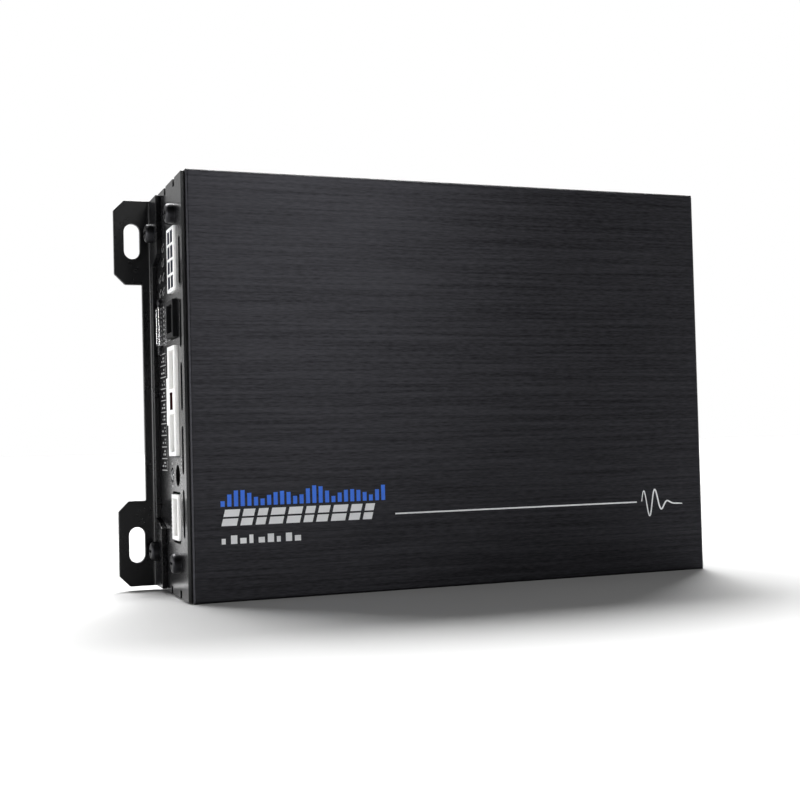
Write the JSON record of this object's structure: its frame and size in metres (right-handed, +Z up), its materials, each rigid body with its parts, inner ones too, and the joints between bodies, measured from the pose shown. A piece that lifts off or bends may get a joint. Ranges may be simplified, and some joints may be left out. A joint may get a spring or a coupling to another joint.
{
  "type": "car amplifier",
  "caption": "Compact car amplifier with a brushed black face, grooved heat sink case, socket panel at one end and slotted mounting feet.",
  "frame": {"origin": "middle of the bounding box, on the plane of the long side that the amplifier stands on", "axes": "+X along the long face away from the sockets, +Y from the brushed face back to the mounting feet, +Z up"},
  "size_m": [0.1864, 0.044, 0.117],
  "materials": {
    "face_plate": "black anodised, brushed along its length",
    "black_anodised": "black anodised, satin",
    "black_sheet": "black coated steel, satin",
    "black_bracket": "black powder coated steel, fine texture",
    "black_screw": "black oxide, glossy",
    "white_nylon": "white moulded nylon",
    "dark_red_lock": "dark red moulded nylon",
    "black_plastic": "black moulded plastic",
    "bright_steel": "bright tin plate",
    "raw_aluminium": "plain machined",
    "circuit_board": "green solder mask",
    "light_lens": "frosted lens",
    "copper_wire": "enamelled copper winding",
    "ferrite": "grey ferrite",
    "capacitor_sleeve": "dark blue sleeve"
  },
  "bodies": {
    "chassis": {"face_plate": "face_plate", "heatsink_body": "black_anodised", "left_end_plate": "black_sheet", "right_end_plate": "black_sheet", "base_plate": "black_sheet", "left_mounting_bracket": "black_bracket", "right_mounting_bracket": "black_bracket", "base_screw_1": "black_screw", "base_screw_2": "black_screw", "base_screw_3": "black_screw", "base_screw_4": "black_screw", "left_front_upper_screw": "black_screw", "left_front_lower_screw": "black_screw", "left_rear_upper_screw": "black_screw", "left_rear_lower_screw": "black_screw", "right_front_upper_screw": "black_screw", "right_front_lower_screw": "black_screw", "right_rear_upper_screw": "black_screw", "right_rear_lower_screw": "black_screw", "data_port_screw_upper": "black_screw", "data_port_screw_lower": "black_screw", "power_header": "white_nylon", "harness_header": "white_nylon", "remote_header": "white_nylon", "harness_lock": "dark_red_lock", "optical_port_housing": "black_plastic", "optical_receiver": "black_plastic", "gain_control_body": "black_plastic", "data_port_tongue": "black_plastic", "amplifier_chip_1": "black_plastic", "amplifier_chip_2": "black_plastic", "signal_processor_chip": "black_plastic", "board_link_header": "black_plastic", "data_port_shell": "bright_steel", "clamp_bar": "bright_steel", "clamp_screw_1": "bright_steel", "clamp_screw_2": "bright_steel", "board_spacer_1": "bright_steel", "board_spacer_2": "bright_steel", "board_spacer_3": "bright_steel", "board_spacer_4": "bright_steel", "heat_spreader": "raw_aluminium", "main_circuit_board": "circuit_board", "signal_board": "circuit_board", "status_light": "light_lens", "supply_choke": "copper_wire", "output_inductor_1": "copper_wire", "output_inductor_2": "copper_wire", "output_inductor_3": "copper_wire", "output_inductor_4": "copper_wire", "supply_transformer": "ferrite", "reservoir_capacitor_1": "capacitor_sleeve", "reservoir_capacitor_2": "capacitor_sleeve", "reservoir_capacitor_3": "capacitor_sleeve"},
    "gain_control": {"gain_control_shaft": "black_plastic"},
    "optical_flap": {"optical_shutter": "black_plastic"}
  },
  "joints": [
    {"name": "gain_turn", "type": "hinge", "parent": "chassis", "child": "gain_control", "pos_m": [-0.0775, -0.0085, 0.03417], "axis": [-1, 0, 0], "range_deg": [-140, 140]},
    {"name": "shutter_swing", "type": "hinge", "parent": "chassis", "child": "optical_flap", "pos_m": [-0.0808, -0.00655, 0.08098], "axis": [0, -1, 0], "range_deg": [0, 80], "stiffness_Nm_per_rad": 0.0002, "springref_deg": -17.19}
  ]
}
